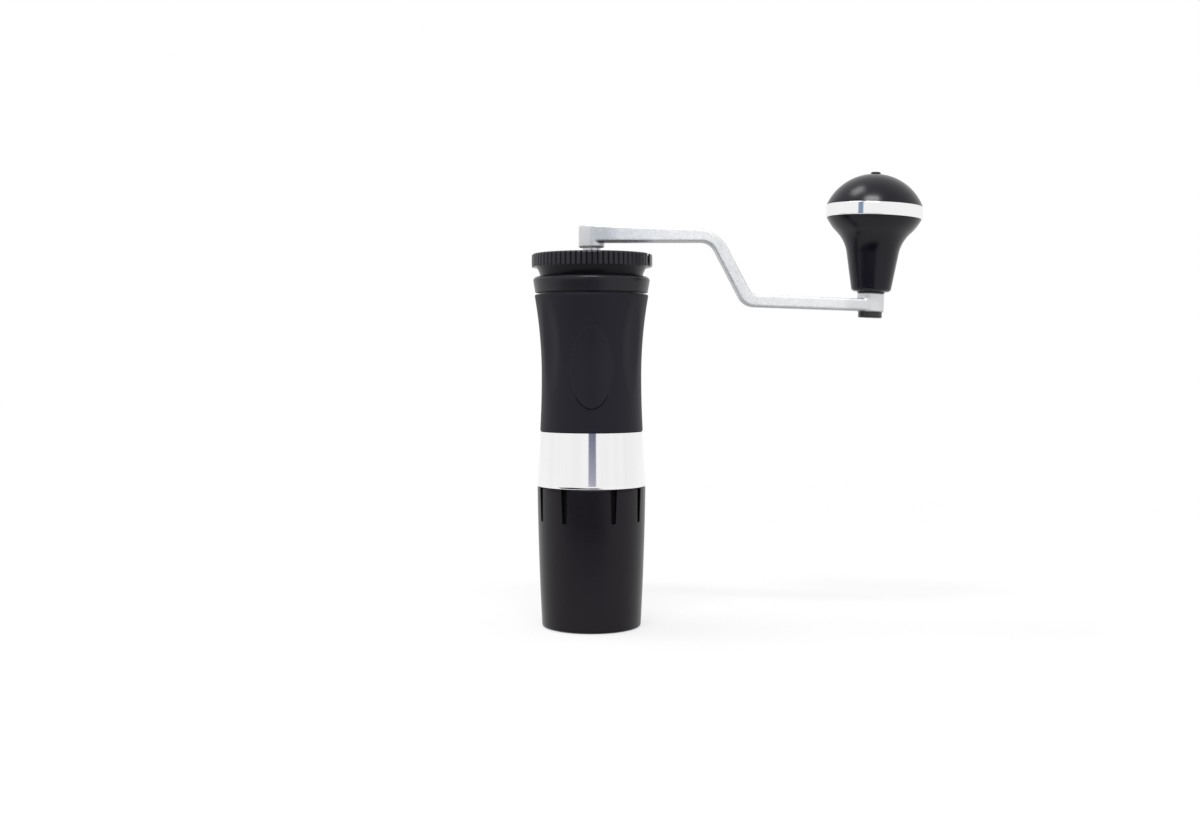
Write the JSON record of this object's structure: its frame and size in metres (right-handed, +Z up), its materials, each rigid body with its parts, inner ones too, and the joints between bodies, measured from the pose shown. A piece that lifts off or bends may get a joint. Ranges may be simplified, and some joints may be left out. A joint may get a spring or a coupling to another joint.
{
  "type": "hand coffee grinder",
  "caption": "Slim hand crank coffee grinder: waisted grip over a polished burr housing, pull-off catch cup, ribbed lift-off lid, dropped crank arm with a spinning mushroom knob.",
  "frame": {"origin": "centre of the pad's underside, on the axis of the body", "axes": "+Z up along the drive shaft, +X along the crank arm at rest, -Y towards the oval badge"},
  "size_m": [0.1766, 0.054, 0.2053],
  "materials": {
    "polished_metal": "mirror polished",
    "cast_metal": "satin, tumbled, fine grain",
    "plain_metal": "turned, satin",
    "steel": "ground",
    "soft_black": "soft matte",
    "badge_black": "smooth satin",
    "dark_satin": "dark anodised, satin",
    "lid_black": "satin",
    "knob_black": "semi-gloss",
    "black_metal": "black, satin",
    "bronze": "sintered",
    "rubber": "matte"
  },
  "bodies": {
    "barrel": {"burr_housing": "polished_metal", "cup_seal": "rubber", "barrel_tube": "plain_metal", "grip_sleeve": "soft_black", "badge_plate": "badge_black", "top_collar": "dark_satin", "upper_carrier": "plain_metal", "lower_carrier": "plain_metal", "upper_bearing_outer": "steel", "lower_bearing_outer": "steel", "ring_burr": "steel", "burr_retainer": "plain_metal"},
    "shaft": {"drive_shaft": "steel", "upper_bearing_inner": "steel", "lower_bearing_inner": "steel", "drive_pin": "steel", "shaft_clip": "steel", "shaft_end_screw": "steel", "burr_spring": "steel"},
    "upper_balls": {"upper_bearing_balls": "steel"},
    "lower_balls": {"lower_bearing_balls": "steel"},
    "cone": {"cone_burr": "steel", "click_plate": "steel"},
    "dial": {"adjuster_dial": "plain_metal"},
    "crank": {"crank_arm": "cast_metal", "knob_spindle": "steel", "spindle_cap": "black_metal", "knob_washer": "black_metal", "knob_screw": "black_metal"},
    "knob": {"knob_grip": "knob_black", "knob_band": "polished_metal", "knob_cap": "knob_black", "knob_lower_bush": "bronze", "knob_upper_bush": "bronze"},
    "lid": {"lid_cap": "lid_black", "lid_neck": "lid_black", "lid_seal": "rubber", "lid_bush": "steel"},
    "cup": {"catch_cup": "dark_satin", "base_pad": "rubber"}
  },
  "joints": [
    {"name": "crank_turn", "type": "hinge", "parent": "barrel", "child": "shaft", "pos_m": [0, 0, 0.11], "axis": [0, 0, 1], "continuous": true},
    {"name": "upper_balls_roll", "type": "hinge", "parent": "barrel", "child": "upper_balls", "pos_m": [0, 0, 0.1476], "axis": [0, 0, 1], "continuous": true},
    {"name": "lower_balls_roll", "type": "hinge", "parent": "barrel", "child": "lower_balls", "pos_m": [0, 0, 0.073], "axis": [0, 0, 1], "continuous": true},
    {"name": "burr_slide", "type": "slide", "parent": "shaft", "child": "cone", "axis": [0, 0, 1], "range_m": [-0.0012, 0.0003], "deforming": ["burr_spring"]},
    {"name": "dial_turn", "type": "hinge", "parent": "cone", "child": "dial", "pos_m": [0, 0, 0.045], "axis": [0, 0, 1], "range_deg": [-433, 109]},
    {"name": "crank_lift", "type": "slide", "parent": "shaft", "child": "crank", "axis": [0, 0, 1], "range_m": [0, 0.06]},
    {"name": "knob_spin", "type": "hinge", "parent": "crank", "child": "knob", "pos_m": [0.1259, 0, 0.142], "axis": [0.0419, 0, 0.9991], "continuous": true},
    {"name": "lid_lift", "type": "slide", "parent": "barrel", "child": "lid", "axis": [0, 0, 1], "range_m": [0, 0.0361]},
    {"name": "cup_pull", "type": "slide", "parent": "cup", "child": "barrel", "axis": [0, 0, 1], "range_m": [0, 0.045]}
  ],
  "couplings": [
    {"joint": "upper_balls_roll", "follows": "crank_turn", "ratio": 0.4083},
    {"joint": "lower_balls_roll", "follows": "crank_turn", "ratio": 0.4083},
    {"joint": "dial_turn", "follows": "burr_slide", "rad_per_m": 6283.2},
    {"joint": "lid_lift", "follows": "crank_lift", "ratio": 0.6}
  ]
}
